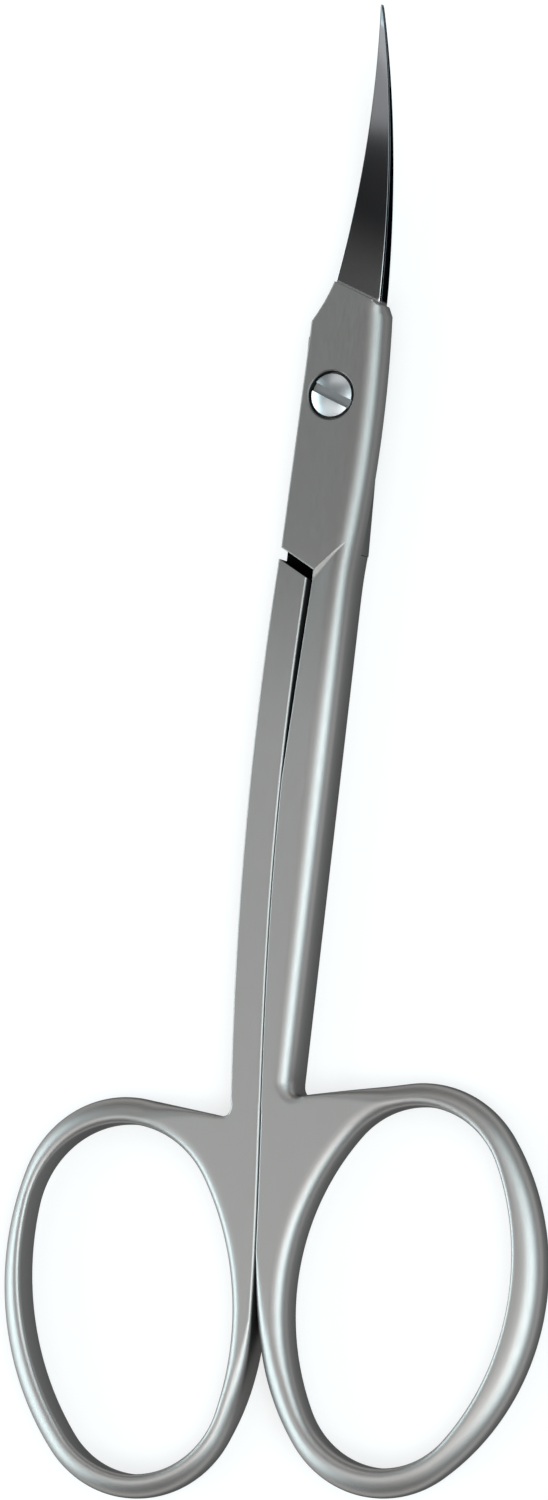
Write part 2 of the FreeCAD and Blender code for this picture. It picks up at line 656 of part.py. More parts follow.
def cylinder(doc, name, radius, low, height):
    item = doc.addObject("Part::Cylinder", name)
    item.setExpression("Radius", radius.text)
    item.setExpression("Height", height.text)
    item.setExpression("Placement.Base.z", low.text)
    return item


def make_half(doc, s, half, side, cuts):
    forging = doc.addObject("Part::MultiFuse", f"{half}_forging")
    forging.Shapes = [body(doc, s, half, side) for body in (shank_body, ring_body, blade_body)]
    forging.Refine = True
    waste = doc.addObject("Part::MultiFuse", f"{half}_waste")
    waste.Shapes = [lap_body(doc, s, half, side), shear_body(doc, s, half, side)] + cuts
    finished = doc.addObject("Part::Cut", f"{half}_half")
    finished.Base = forging
    finished.Tool = waste
    finished.Refine = True
    finished.Label = f"{half}_half"
    return finished


def make_screw(doc, s):
    body = doc.addObject("PartDesign::Body", "pivot_screw")
    body.Label = "pivot_screw"
    profile = new_sketch(body, "screw_profile", "XZ_Plane")
    shank = s.screw_diameter / 2
    head = s.head_diameter / 2
    low = s.screw_end_recess
    seat = s.stock_thickness - s.counterbore_depth + s.screw_seat_gap
    rim = s.stock_thickness - s.head_rim_drop
    crown = rim + s.head_crown
    dome = (head * head + s.head_crown * s.head_crown) / (s.head_crown * 2)
    tip = shank - s.screw_point
    path = Outline(profile, (0, low.value))
    first = path.line((tip.value, low.value))
    corners = [(first, (tip, low))]
    for corner in ((shank, low + s.screw_point), (shank, seat), (head, seat), (head, rim)):
        corners.append((path.line(at(corner)), corner))
    cap = path.arc((0, crown.value), (0, crown.value - dome.value), True)
    path.line((0, low.value))
    path.close()
    for edge, point in corners:
        path.pin(edge, point)
    path.radius(cap, dome)
    for edge, place, height in ((cap, cap.tail, crown), (first, first.head, low)):
        profile.addConstraint(Sketcher.Constraint("PointOnObject", edge.index, place, -2))
        drive(profile, "DistanceY", (edge.index, place), height)
    turn = body.newObject("PartDesign::Revolution", "screw_turned")
    turn.Profile = profile
    turn.ReferenceAxis = (profile, ["V_Axis"])
    turn.Angle = 360

    # Screwdriver slot straight across the head
    slot = new_sketch(body, "screw_slot", "XY_Plane", crown - s.slot_depth)
    slot.setExpression("AttachmentOffset.Rotation.Angle", s.slot_angle.text)
    half_length = s.head_diameter
    half_width = s.slot_width / 2
    corners = [(-half_length, -half_width), (half_length, -half_width),
               (half_length, half_width), (-half_length, half_width)]
    path = Outline(slot, at(corners[-1]))
    for corner in corners:
        path.pin(path.line(at(corner)), corner)
    path.close()
    cut = body.newObject("PartDesign::Pocket", "screw_slot_cut")
    cut.Profile = slot
    cut.setExpression("Length", s.head_diameter.text)
    cut.Reversed = True
    return body


def main():
    doc = FreeCAD.newDocument("CuticleScissors")
    s = fill_sheet(doc)
    shank = s.screw_diameter / 2
    floor = s.stock_thickness - s.counterbore_depth
    low = -s.stock_thickness
    through = s.stock_thickness * 3
    bore = cylinder(doc, "front_bore", shank + s.screw_bore_clearance, low, through)
    seat = s.head_diameter / 2 + s.head_clearance
    counterbore = cylinder(doc, "front_counterbore", seat, floor, s.stock_thickness)
    bevel = doc.addObject("Part::Cone", "front_counterbore_bevel")
    bevel.setExpression("Radius1", seat.text)
    bevel.setExpression("Radius2", (seat + s.counterbore_break * 2).text)
    bevel.setExpression("Height", (s.counterbore_break * 2).text)
    bevel.setExpression("Placement.Base.z", (s.stock_thickness - s.counterbore_break).text)
    thread = cylinder(doc, "rear_thread", shank + s.screw_thread_clearance, low, through)
    nodes = [
        make_half(doc, s, "front", 1, [bore, counterbore, bevel, ridge_body(doc, s)]),
        make_half(doc, s, "rear", -1, [thread]),
        make_screw(doc, s),
    ]
    doc.recompute()
    failed = [item.Name for item in doc.Objects if "Invalid" in item.State or "Error" in item.State]
    if failed:
        raise RuntimeError("objects failed: " + ", ".join(failed))
    for node in nodes:
        if node.Shape.isNull() or not node.Shape.isValid() or len(node.Shape.Solids) != 1:
            raise RuntimeError(f"{node.Label} is not one valid solid")
    os.makedirs("parts", exist_ok=True)
    for node in nodes:
        node.Shape.exportStep(f"parts/{node.Label}.step")
        print(node.Label, round(node.Shape.Volume, 3), node.Shape.BoundBox)


main()
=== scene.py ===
import bmesh
import bpy
import math
import numpy as np
from mathutils import Matrix, Vector


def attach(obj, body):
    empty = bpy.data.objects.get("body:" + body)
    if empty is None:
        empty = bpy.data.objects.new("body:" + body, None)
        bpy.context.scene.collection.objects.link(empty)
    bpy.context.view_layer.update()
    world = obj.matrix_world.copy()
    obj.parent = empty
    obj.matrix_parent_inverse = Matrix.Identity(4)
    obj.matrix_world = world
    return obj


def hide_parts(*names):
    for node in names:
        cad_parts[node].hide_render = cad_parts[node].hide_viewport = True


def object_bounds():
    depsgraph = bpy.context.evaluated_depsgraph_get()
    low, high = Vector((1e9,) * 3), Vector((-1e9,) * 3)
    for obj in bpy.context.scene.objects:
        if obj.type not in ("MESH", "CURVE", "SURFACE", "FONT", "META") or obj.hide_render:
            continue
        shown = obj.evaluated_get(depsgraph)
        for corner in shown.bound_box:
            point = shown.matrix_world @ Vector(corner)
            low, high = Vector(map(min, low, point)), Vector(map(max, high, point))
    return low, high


# Cuticle scissors in satin steel, lying closed on a pale table
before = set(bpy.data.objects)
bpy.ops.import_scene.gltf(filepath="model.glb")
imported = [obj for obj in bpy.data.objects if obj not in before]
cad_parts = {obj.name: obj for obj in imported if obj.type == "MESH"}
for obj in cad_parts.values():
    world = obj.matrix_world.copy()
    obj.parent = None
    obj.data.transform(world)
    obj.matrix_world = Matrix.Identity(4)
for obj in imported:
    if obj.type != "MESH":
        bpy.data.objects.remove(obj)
cadLow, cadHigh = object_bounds()
mm = 0.001
scene = bpy.context.scene
scene.view_settings.view_transform = "Standard"
print("frame loaded:", sorted(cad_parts))


def linear(hexColour):
    # sRGB hex to linear light: a straight toe, then a 2.4 power
    srgb = np.array([int(hexColour[i:i + 2], 16) for i in (1, 3, 5)]) / 255
    light = np.where(srgb <= 0.04045, srgb / 12.92, ((srgb + 0.055) / 1.055) ** 2.4)
    return (*light.tolist(), 1.0)


def addNode(tree, kind, settings=None, links=None):
    # settings: attribute or input socket -> value; links: input socket -> output socket
    node = tree.nodes.new(kind)
    for key, value in (settings or {}).items():
        if isinstance(key, str) and hasattr(node, key):
            setattr(node, key, value)
        else:
            node.inputs[key].default_value = value
    for key, source in (links or {}).items():
        tree.links.new(source, node.inputs[key])
    return node


def newMaterial(name):
    material = bpy.data.materials.new(name)
    material.use_nodes = True
    tree = material.node_tree
    tree.nodes.clear()
    return material, tree


satin = {
    "colour": "#A6A19E", "roughness": 0.46,
    "plateShadeColour": "#8C8885", "plateShadeBlend": (-25, -8),      # painted shade: the plates are drawn darker than the shanks, y in mm
    "sideShadeColour": "#727170",
    "sideStart": 0.62, "sideEnd": 0.25,                     # painted shade: the sides darken by the upward share of the surface's normal
    # painted shade: the polished blade's colours are dark, standing in for the dark reflections it shows
    "polishedShadeColour": "#595A5C", "polishedSideShade": "#3A3B3D", "polishedRoughness": 0.13,
    "rootLeft": (-0.56, 7.7), "rootRight": (3.06, 6.25),    # the polish starts on this slanted line, mm
    "rootBlend": 0.25,
    "rootColour": "#AEAEAE", "rootFade": 6,                 # painted light and shade: the blade is light at its root and darkens over this length, mm
    "grazing": 0.25,                      # the steel reflects less where it is seen edge on
    "grain": 0.12, "stretch": 0.12,       # grinding lines, mm: near 0.03 in life, drawn coarser to show
    "grainDepth": 0.05, "grainDetail": 2.0,
    # painted shadow: a near-black band in the open end of the lap, where there is only shade
    "lapShadowColour": "#0C0C0D", "lapShadowSlope": -0.5516, "lapShadowBand": (-12.75, -11.82), "lapShadowX": 0.05, "lapShadowTop": 2.6,
    "lapShadowBlend": (0.03, 0.1, 0.3),         # soft edges of the painted shadow along the band, in x and in height, mm
}


def satinSteel():
    # Stainless steel, forged and satin ground, with mirror-polished blades: soft wide reflections on the
    # bodies, sharp ones on the blades; painted shade darkens the sides, plates and blades, and a painted
    # shadow fills the open end of the lap
    material, tree = newMaterial("satin_ground_stainless_steel")
    place = addNode(tree, "ShaderNodeTexCoord")
    axes = addNode(tree, "ShaderNodeSeparateXYZ", links={0: place.outputs["Object"]})

    def ramp(value, low, high):
        limits = {"interpolation_type": "SMOOTHSTEP", "From Min": low, "From Max": high}
        node = addNode(tree, "ShaderNodeMapRange", limits, {"Value": value})
        return node.outputs["Result"]

    def slanted(slope):
        node = addNode(tree, "ShaderNodeMath", {"operation": "MULTIPLY_ADD", 1: -slope},
                       {0: axes.outputs["X"], 2: axes.outputs["Y"]})
        return node.outputs[0]

    def times(first, second):
        return addNode(tree, "ShaderNodeMath", {"operation": "MULTIPLY"}, {0: first, 1: second}).outputs[0]

    def blend(share, first, second):
        node = addNode(tree, "ShaderNodeMix", {"data_type": "RGBA"}, {0: share})
        for socket, source in ((6, first), (7, second)):
            if isinstance(source, str):
                node.inputs[socket].default_value = linear(source)
            else:
                tree.links.new(source, node.inputs[socket])
        return node.outputs[2]

    # Where the polish is, where the painted shadow in the lap is, and how steep the surface is
    slope = (satin["rootRight"][1] - satin["rootLeft"][1]) / (satin["rootRight"][0] - satin["rootLeft"][0])
    start = (satin["rootLeft"][1] - slope * satin["rootLeft"][0]) * mm
    polish = ramp(slanted(slope), start, start + satin["rootBlend"] * mm)
    # painted shade: the blade's colour darkens from its light root to its dark painted reflection
    bladeShade = ramp(slanted(slope), start, start + satin["rootFade"] * mm)
    # painted shade: the colour turns darker towards the plates
    plate = ramp(axes.outputs["Y"], *[edge * mm for edge in satin["plateShadeBlend"]])
    along = slanted(satin["lapShadowSlope"])
    low, high = [edge * mm for edge in satin["lapShadowBand"]]
    softBand, softX, softTop = satin["lapShadowBlend"]
    # painted shadow: the near-black band in the lap, with soft edges
    lapShadow = times(ramp(along, low, low + softBand * mm), ramp(along, high, high - softBand * mm))
    lapShadow = times(lapShadow, ramp(axes.outputs["X"], satin["lapShadowX"] * mm, (satin["lapShadowX"] - softX) * mm))
    lapShadow = times(lapShadow, ramp(axes.outputs["Z"], satin["lapShadowTop"] * mm, (satin["lapShadowTop"] - softTop) * mm))
    surface = addNode(tree, "ShaderNodeNewGeometry")
    facing = addNode(tree, "ShaderNodeSeparateXYZ", links={0: surface.outputs["Normal"]})
    upward = addNode(tree, "ShaderNodeMath", {"operation": "ABSOLUTE"}, {0: facing.outputs["Z"]}).outputs[0]
    # painted shade: the steeper the surface, the more of the sides' dark colour it takes
    side = ramp(upward, satin["sideStart"], satin["sideEnd"])

    # Grinding lines along the scissors, in the gloss only
    fine = 1 / (satin["grain"] * mm)
    lines = addNode(tree, "ShaderNodeMapping", {"Scale": (fine, fine * satin["stretch"], fine)},
                    {"Vector": place.outputs["Object"]})
    noise = addNode(tree, "ShaderNodeTexNoise", {"Scale": 1.0, "Detail": satin["grainDetail"]},
                    {"Vector": lines.outputs[0]})
    ground = addNode(tree, "ShaderNodeMapRange", {"To Min": satin["roughness"] - satin["grainDepth"],
                                                  "To Max": satin["roughness"] + satin["grainDepth"]},
                     {"Value": noise.outputs["Fac"]})
    rough = addNode(tree, "ShaderNodeMapRange", {"To Max": satin["polishedRoughness"]},
                    {"Value": polish, "To Min": ground.outputs["Result"]})
    body = blend(plate, satin["colour"], satin["plateShadeColour"])
    mirror = blend(bladeShade, satin["rootColour"], satin["polishedShadeColour"])
    tint = blend(polish, blend(side, body, satin["sideShadeColour"]), blend(side, mirror, satin["polishedSideShade"]))
    # the painted shadow in the lap goes over the colour
    tint = blend(lapShadow, tint, satin["lapShadowColour"])
    edgeOn = (satin["grazing"],) * 3 + (1,)
    shader = addNode(tree, "ShaderNodeBsdfPrincipled", {"Metallic": 1.0, "Specular Tint": edgeOn},
                     {"Base Color": tint, "Roughness": rough.outputs["Result"]})
    addNode(tree, "ShaderNodeOutputMaterial", links={"Surface": shader.outputs[0]})
    return material


screw = {
    "colour": "#C6C9CA", "lineColour": "#AEB1B3", "roughness": (0.3, 0.4),
    "pitch": 0.06,                        # turning lines, mm: near 0.02 in life, drawn coarser to show
    "waver": 0.6,
}


def screwSteel():
    # Turned steel with fine rings round its axis: a little brighter and sharper than the satin around it
    material, tree = newMaterial("turned_bright_steel")
    place = addNode(tree, "ShaderNodeTexCoord")
    ringScale = math.pi / 10 / (screw["pitch"] * mm)    # a wave of scale 1 repeats every pi / 10 units
    turning = {"wave_type": "RINGS", "rings_direction": "Z", "Scale": ringScale, "Distortion": screw["waver"]}
    rings = addNode(tree, "ShaderNodeTexWave", turning, {"Vector": place.outputs["Object"]})
    low, high = screw["roughness"]
    rough = addNode(tree, "ShaderNodeMapRange", {"To Min": low, "To Max": high},
                    {"Value": rings.outputs["Fac"]})
    tint = addNode(tree, "ShaderNodeMix", {"data_type": "RGBA", 6: linear(screw["colour"]),
                                           7: linear(screw["lineColour"])}, {0: rings.outputs["Fac"]})
    shader = addNode(tree, "ShaderNodeBsdfPrincipled", {"Metallic": 1.0},
                     {"Base Color": tint.outputs[2], "Roughness": rough.outputs["Result"]})
    addNode(tree, "ShaderNodeOutputMaterial", links={"Surface": shader.outputs[0]})
    return material


# Sizes that both halves share, in mm. Each half is drawn with x counted towards its own finger ring.
stock = {
    "thickness": 2.8, "lapGap": 0.04,
    "meetingGap": 0.05, "meetingY": -28, "meeting": (-0.861, -0.0029, 0.00232, 0, -8.5e-7),
    "fullness": 2.2,               # power of the rounded edges' curve, 2 is an ellipse
    "edgeSteps": (0, 0.012, 0.035, 0.07, 0.115, 0.17, 0.24, 0.33, 0.46, 0.64, 0.88, 1.15, 1.45),
    "edgeRoom": 2.2,               # a narrow strip's edge steps shrink to its width over this
    "middleSteps": 3,
}
# How finely the forgings are drawn: points per stretch, and the small distances that count as none
detail = {
    "webReach": 14, "webSamples": 1500, "webSteps": 26, "cornerSteps": 16, "rimSamples": 900,
    "cubicSteps": 44, "wallSteps": 60, "innerSamples": 20, "innerRows": 30,
    "bladeSamples": 80, "blocks": 60, "boreSides": 96,
    "farAway": 1e5, "touch": 1e-6, "nudge": 0.01, "leastBevel": 1e-3,     # mm
    "weld": 2e-7, "sliver": 1e-8,                                         # m
    "sharpAngle": 38,
}
blade = {
    "rootY": 7.7, "tipY": 26.1, "rootLeft": -0.56, "rootRight": 2.42, "tipX": 2.02, "tipWidth": 0.09,
    "fullness": 0.25, "bendStart": 7.5, "bendRadius": 48, "rootSlope": 0.4006,
    "spine": (1.05, 0.2), "edge": (0.3, 0.1),     # thickness at the root and at the tip
}


def bow(start, end, radius, count=40):
    # Points of a circle's arc from start to end, with its centre on the left for a positive radius
    start, end = np.array(start, float), np.array(end, float)
    chord = end - start
    span = np.hypot(*chord)
    rise = math.copysign(math.sqrt(radius ** 2 - span ** 2 / 4), radius)
    centre = (start + end) / 2 + np.array([-chord[1], chord[0]]) / span * rise
    first = math.atan2(*(start - centre)[::-1])
    sweep = (math.atan2(*(end - centre)[::-1]) - first + math.pi) % (2 * math.pi) - math.pi
    angles = first + sweep * np.linspace(0, 1, count)
    return centre + abs(radius) * np.stack([np.cos(angles), np.sin(angles)], -1)


def walk(run, shares):
    # Points at those shares of a run's length
    run = np.asarray(run, float)
    gone = np.concatenate([[0], np.cumsum(np.hypot(*np.diff(run, axis=0).T))])
    return np.stack([np.interp(shares * gone[-1], gone, run[:, axis]) for axis in (0, 1)], -1)


def meetingX(y):
    # x of the line where the two shanks meet: a shallow bow, a sum of powers of the height
    return sum(factor * (y - stock["meetingY"]) ** power for power, factor in enumerate(stock["meeting"]))


def eggFoot(egg, points):
    # Nearest point of an egg of four tangent arcs: straight towards the centre of the arc facing the point
    topSpan, bottomSpan = egg["flank"] - egg["top"], egg["flank"] - egg["bottom"]
    reach = egg["reach"]
    drop = (topSpan ** 2 - bottomSpan ** 2 + 4 * reach ** 2) / (4 * reach)
    throw = math.sqrt(topSpan ** 2 - drop ** 2)
    tilt = math.radians(egg["tilt"])
    away = points - np.array(egg["middle"])
    across = away[..., 0] * math.cos(tilt) - away[..., 1] * math.sin(tilt)
    height = away[..., 0] * math.sin(tilt) + away[..., 1] * math.cos(tilt)
    atTop = (height - reach) / np.hypot(across, height - reach) > drop / topSpan
    atBottom = (height + reach) / np.hypot(across, height + reach) < (drop - 2 * reach) / bottomSpan
    centreX = np.where(atTop | atBottom, 0, np.where(across < 0, throw, -throw))
    centreY = np.where(atTop, reach, np.where(atBottom, -reach, reach - drop))
    radius = np.where(atTop, egg["top"], np.where(atBottom, egg["bottom"], egg["flank"]))
    scale = radius / np.hypot(across - centreX, height - centreY)
    across = centreX + (across - centreX) * scale
    height = centreY + (height - centreY) * scale
    return np.stack([egg["middle"][0] + across * math.cos(tilt) + height * math.sin(tilt),
                     egg["middle"][1] - across * math.sin(tilt) + height * math.cos(tilt)], -1)


def eggAt(egg, degrees):
    # Point of the egg whose outward direction is that angle
    angles = np.radians(degrees)
    outward = np.stack([np.cos(angles), np.sin(angles)], -1)
    return eggFoot(egg, np.array(egg["middle"]) + detail["farAway"] * outward)


def columns(starts, ends):
    # Points across from each start to its end, close together where the rounded edges are
    width = np.hypot(*(ends - starts).T)[:, None]
    steps = np.array(stock["edgeSteps"])
    near = steps * np.minimum(1, width / (stock["edgeRoom"] * steps[-1])) / width
    between = np.linspace(0, 1, stock["middleSteps"] + 2)[1:-1]
    middle = near[:, -1:] + (1 - 2 * near[:, -1:]) * between
    shares = np.concatenate([near, middle, 1 - near[:, ::-1]], 1)
    return starts[:, None] + (ends - starts)[:, None] * shares[..., None], shares


def quarter(reach):
    # Fall of a rounded edge, 0 where the rounding starts and 1 on the wall
    return 1 - (1 - reach ** stock["fullness"]) ** (1 / stock["fullness"])


def edgeFall(points, room, wall, radius):
    # Fall of the edges' roundings below the level; on the wall itself it takes all the room to the waist
    step = np.diff(wall, axis=0)
    square = np.maximum((step ** 2).sum(1), 1e-12)
    found = []
    for block, deep in zip(*[np.array_split(values, detail["blocks"]) for values in (points, room)]):
        away = block[:, None] - wall[None, :-1]
        share = np.clip((away * step).sum(-1) / square, 0, 1)
        gap = np.hypot(*np.moveaxis(away - share[..., None] * step, -1, 0))
        size = radius[:-1] + share * np.diff(radius)
        reach = np.clip(1 - gap / size, 0, 1)
        fall = (np.minimum(size, deep[:, None]) * quarter(reach)).max(1)
        found.append(np.where(gap.min(1) < detail["touch"], deep, fall))
    return np.concatenate(found)


def bladeEdges(y):
    # Left and right side of both blades, seen from above
    run = np.clip((y - blade["rootY"]) / (blade["tipY"] - blade["rootY"]), 0, 1)
    left = blade["rootLeft"] + (blade["tipX"] - blade["tipWidth"] / 2 - blade["rootLeft"]) * run * (
        1 + blade["fullness"] * (1 - run))
    right = blade["rootRight"] + (blade["tipX"] + blade["tipWidth"] / 2 - blade["rootRight"]) * run ** 3
    return left, right, run


def bladeBend(points):
    # Height of the surface between the blades: flat near the pivot, then the bow of one circle
    run = np.maximum(np.hypot(points[..., 0], points[..., 1]) - blade["bendStart"], 0)
    return stock["thickness"] / 2 + blade["bendRadius"] - np.sqrt(blade["bendRadius"] ** 2 - run ** 2)


def ringOutline(half, sideRun):
    # Outside of a finger ring from the web's start round to the meeting line, and the web's inside corner
    web = math.radians(half["webAngle"])
    slope = np.array([math.cos(web), math.sin(web)])
    crown = eggAt(half["rim"], 90 + half["webAngle"])
    reach = np.linspace(0, detail["webReach"], detail["webSamples"])
    webLine = crown - reach[:, None] * slope
    past = webLine[:, 0] - np.interp(webLine[:, 1], sideRun[:, 1], sideRun[:, 0])
    corner = walk(webLine, np.array([np.interp(0, -past, reach) / reach[-1]]))[0]
    topY = corner[1] + half["webCorner"]
    top = np.array([np.interp(topY, sideRun[:, 1], sideRun[:, 0]), topY])
    start = corner + slope * half["webCorner"]
    turn = np.linspace(0, 1, detail["cornerSteps"])[:, None]
    inside = start * (1 - turn) ** 2 + 2 * corner * turn * (1 - turn) + top * turn ** 2
    webRun = walk([start, crown], np.linspace(0, 1, detail["webSteps"])[:-1])
    leave = -180 + half["leaveAngle"]
    rimAngles = np.linspace(90 + half["webAngle"], leave, detail["rimSamples"])
    rim = walk(eggAt(half["rim"], rimAngles), np.linspace(0, 1, half["rimCount"]))
    # From the egg to the meeting line on one cubic, level with both at its ends
    low = rim[-1]
    lowSlope = -math.tan(math.radians(leave))
    highY = half["tongueY"]
    wall = half["wall"]
    nudge = detail["nudge"]
    highSlope = (wall(highY + nudge) - wall(highY - nudge)) / (2 * nudge)
    span = highY - low[1]
    u = np.linspace(0, 1, detail["cubicSteps"])[1:]
    cubicX = (low[0] * (2 * u ** 3 - 3 * u ** 2 + 1) + span * lowSlope * (u ** 3 - 2 * u ** 2 + u)
              + wall(highY) * (3 * u ** 2 - 2 * u ** 3) + span * highSlope * (u ** 3 - u ** 2))
    cubic = np.stack([cubicX, low[1] + span * u], -1)
    wallY = np.linspace(highY, start[1] - half["webDrop"], detail["wallSteps"])[1:]
    straight = np.stack([wall(wallY), wallY], -1)
    outline = np.concatenate([webRun, rim, cubic, straight])
    parts = [len(webRun), len(rim), len(cubic), len(straight)]
    return outline, parts, inside


def forging(half):
    # One half as two sheets over the same plan, upper and lower, that meet on the outline.
    # The plan is a band round the finger hole and a strip of rows from the web to the blade's tip.
    # A sheet's height is its level, less a drop that grows with the rounded edges' reach.
    side = half["side"]
    sideRun = np.concatenate(half["outerRuns"])
    outline, parts, inside = ringOutline(half, sideRun)
    lowY, topY = outline[-1, 1], inside[-1, 1]
    innerY = np.linspace(lowY, topY, detail["innerSamples"])
    inner = np.stack([half["wall"](innerY), innerY], -1)
    lefts, rights, marks = [], [], []
    stretches = [(inner, inside, detail["innerRows"])] + half["rows"](topY, half["wall"], sideRun)
    for number, (left, right, count) in enumerate(stretches):
        shares = np.linspace(0, 1, count)
        lefts.append(walk(left, shares))
        rights.append(walk(right, shares))
        marks.append(np.full(count, number))
    left, right, mark = np.concatenate(lefts), np.concatenate(rights), np.concatenate(marks)
    strip, across = columns(left, right)
    joint = strip[0, 1:-1]
    loop = np.concatenate([outline, joint])
    band, _ = columns(eggFoot(half["hole"], loop), loop)
    level = half["levels"](strip, across, mark)

    # Rounding of the edges, upper and lower, all along the outline
    fence = np.concatenate([outline, left, right[::-1]])
    plan = np.concatenate([band.reshape(-1, 2), strip.reshape(-1, 2)])
    holeGap = np.hypot(*(plan - eggFoot(half["hole"], plan)).T)
    away = plan - np.array(half["hole"]["middle"])
    farShare = 0.5 + 0.5 * away[:, 0] / np.hypot(*away.T)
    flat = np.ones(band.shape[0] * band.shape[1])
    counts = np.bincount(mark)
    waist = np.concatenate([flat * stock["thickness"] / 2, level[2].ravel()])
    sheets = []
    for face, base, heights in (("upper", stock["thickness"], level[0]), ("lower", 0, level[1])):
        size = half[face]
        web = size["web"] + (size["rim"] - size["web"]) * np.linspace(0, 1, parts[0]) ** 2
        rim = [web, np.full(parts[1], size["rim"]), np.linspace(size["rim"], size["meeting"], parts[2]),
               np.full(parts[3], size["meeting"])]
        sides = []
        for key in ("left", "right"):
            runs = [np.linspace(*np.broadcast_to(ends, 2), count) for ends, count in zip(size[key], counts)]
            sides.append(np.concatenate(runs))
        levels = np.concatenate([flat * base, heights.ravel()])
        room = np.abs(levels - waist)
        fall = edgeFall(plan, room, fence, np.concatenate(rim + [sides[0], sides[1][::-1]]))
        holeSize = size["hole"][0] + (size["hole"][1] - size["hole"][0]) * farShare
        holeFall = np.minimum(holeSize, room) * quarter(np.clip(1 - holeGap / holeSize, 0, 1))
        fall = np.minimum(fall + np.where(holeGap < detail["touch"], room, holeFall), room)
        heightNow = levels + np.sign(waist - levels) * fall
        sheets.append(np.column_stack([plan[:, 0] * side, plan[:, 1], heightNow]))
    around, deep = band.shape[:2]
    rows, wide = strip.shape[:2]
    bandIndex = np.arange(around * deep).reshape(around, deep)
    bandIndex = np.concatenate([bandIndex, bandIndex[:1]])
    stripIndex = around * deep + np.arange(rows * wide).reshape(rows, wide)
    bandQuads = [bandIndex[:-1, :-1], bandIndex[1:, :-1], bandIndex[1:, 1:], bandIndex[:-1, 1:]]
    stripQuads = [stripIndex[:-1, :-1], stripIndex[:-1, 1:], stripIndex[1:, 1:], stripIndex[1:, :-1]]
    quads = np.concatenate([np.stack(corners, -1).reshape(-1, 4) for corners in (bandQuads, stripQuads)])
    return np.concatenate(sheets), np.concatenate([quads, quads[:, ::-1] + len(plan)])


def newPiece(name, points, faces, material):
    # Puts points in mm and their faces into a mesh, closes the seams and turns the faces outwards
    mesh = bpy.data.meshes.new(name)
    mesh.from_pydata((points * mm).tolist(), [], faces.tolist())
    work = bmesh.new()
    work.from_mesh(mesh)
    bmesh.ops.remove_doubles(work, verts=work.verts, dist=detail["weld"])
    bmesh.ops.dissolve_degenerate(work, edges=work.edges, dist=detail["sliver"])
    bmesh.ops.recalc_face_normals(work, faces=work.faces)
    loose = [edge for edge in work.edges if not edge.is_manifold]
    work.to_mesh(mesh)
    work.free()
    mesh.materials.append(material)
    mesh.polygons.foreach_set("use_smooth", np.ones(len(mesh.polygons), bool))
    mesh.set_sharp_from_angle(angle=math.radians(detail["sharpAngle"]))
    piece = bpy.data.objects.new(name, mesh)
    scene.collection.objects.link(piece)
    print(name, "faces", len(mesh.polygons), "open edges", len(loose))
    return piece


front = {
    "side": 1,
    "hole": {"middle": (10.96, -59.0), "tilt": 5.7,
            "reach": 5.93, "top": 6.14, "bottom": 6.05, "flank": 17.1},
    "rim": {"middle": (10.86, -59.24), "tilt": 6.4,
            "reach": 6.27, "top": 7.64, "bottom": 7.49, "flank": 16.59},
    "webAngle": 11, "webCorner": 1.0, "webDrop": 1.2, "leaveAngle": 24, "tongueY": -57.5, "rimCount": 260,
    "outerRuns": [np.array([(1.78, -56), (2.58, -13.5)]), bow((2.58, -13.5), (2.828, -9.944), -35, 20)[1:],
                  bow((2.828, -9.944), (3.36, 5.6), 90)[1:]],
    "toe": (-0.03, -11.84), "heel": (-2.55, -10.45), "corner": (-1.94, 4.95), "cutCorner": (3.06, 6.25),
    "closeY": -26, "hollow": 12,
    "sunk": 0.2, "sunkStart": -28, "sunkWidth": 0.75, "bevel": 0.45, "lapEndGap": 0.2,
    "shoulderShare": 0.93, "shoulderInset": 0.2, "ridgeRightY": -8.9, "heelRightY": -8.1,
    "shankSamples": 60, "rowCounts": (110, 76, 24, 22, 74, 26, 110),
    "lapMark": 3, "plateMark": 4, "bladeMark": 7,      # stretches of rows where lap, plate and blade start
    "upper": {"web": 0.3, "rim": 1.9, "meeting": 0.1, "hole": (1.3, 0.35),
              "left": (0.05, 0.05, 0.05, 0.05, 0.1, 0.12, 0.12, 0.06),
              "right": ((0.3, 1.3), (1.3, 1.65), 1.65, (1.65, 1.7), 1.7, 1.7, (1.7, 0.2), 0.03)},
    "lower": {"web": 0.3, "rim": 1.5, "meeting": 0.22, "hole": (1.2, 0.9),
              "left": (0.22, 0.22, 0.22, 0.1, 0.1, 0.1, 0.1, 0.03),
              "right": (0.35, 0.35, 0.35, 0.1, 0.1, 0.1, 0.1, 0.03)},
}
